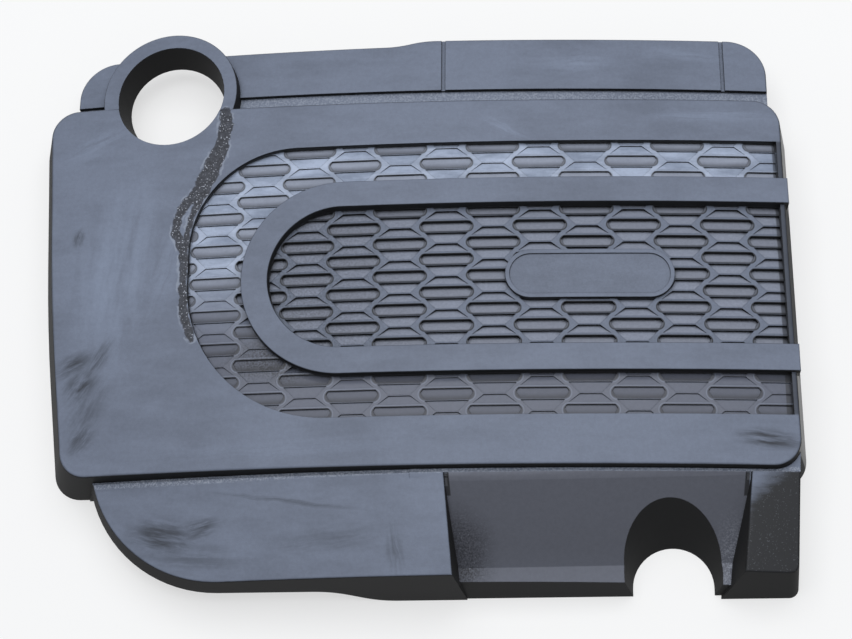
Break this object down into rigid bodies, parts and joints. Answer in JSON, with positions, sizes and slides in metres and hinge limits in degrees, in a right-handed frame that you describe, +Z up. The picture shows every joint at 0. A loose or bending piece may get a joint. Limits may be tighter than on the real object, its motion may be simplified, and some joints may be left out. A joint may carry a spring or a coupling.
{
  "type": "engine cover",
  "caption": "Black moulded engine cover with a crowned panel, louvred honeycomb field, raised U-shaped band, round filler collar, stepped front edge with a notch, and rubber push-on grommets.",
  "frame": {"origin": "centre of the footprint on the plane of the skirt's lower rim", "axes": "+X along the engine, +Y towards the filler collar, +Z up through the panel"},
  "size_m": [0.568, 0.4278, 0.0807],
  "materials": {
    "moulded_plastic": "fine satin moulded grain, dusty and worn",
    "grommet_rubber": "matt black rubber"
  },
  "bodies": {
    "root": {"cover": "moulded_plastic", "grommet_front_left": "grommet_rubber", "grommet_front_right": "grommet_rubber", "grommet_rear_left": "grommet_rubber", "grommet_rear_right": "grommet_rubber"}
  },
  "joints": []
}
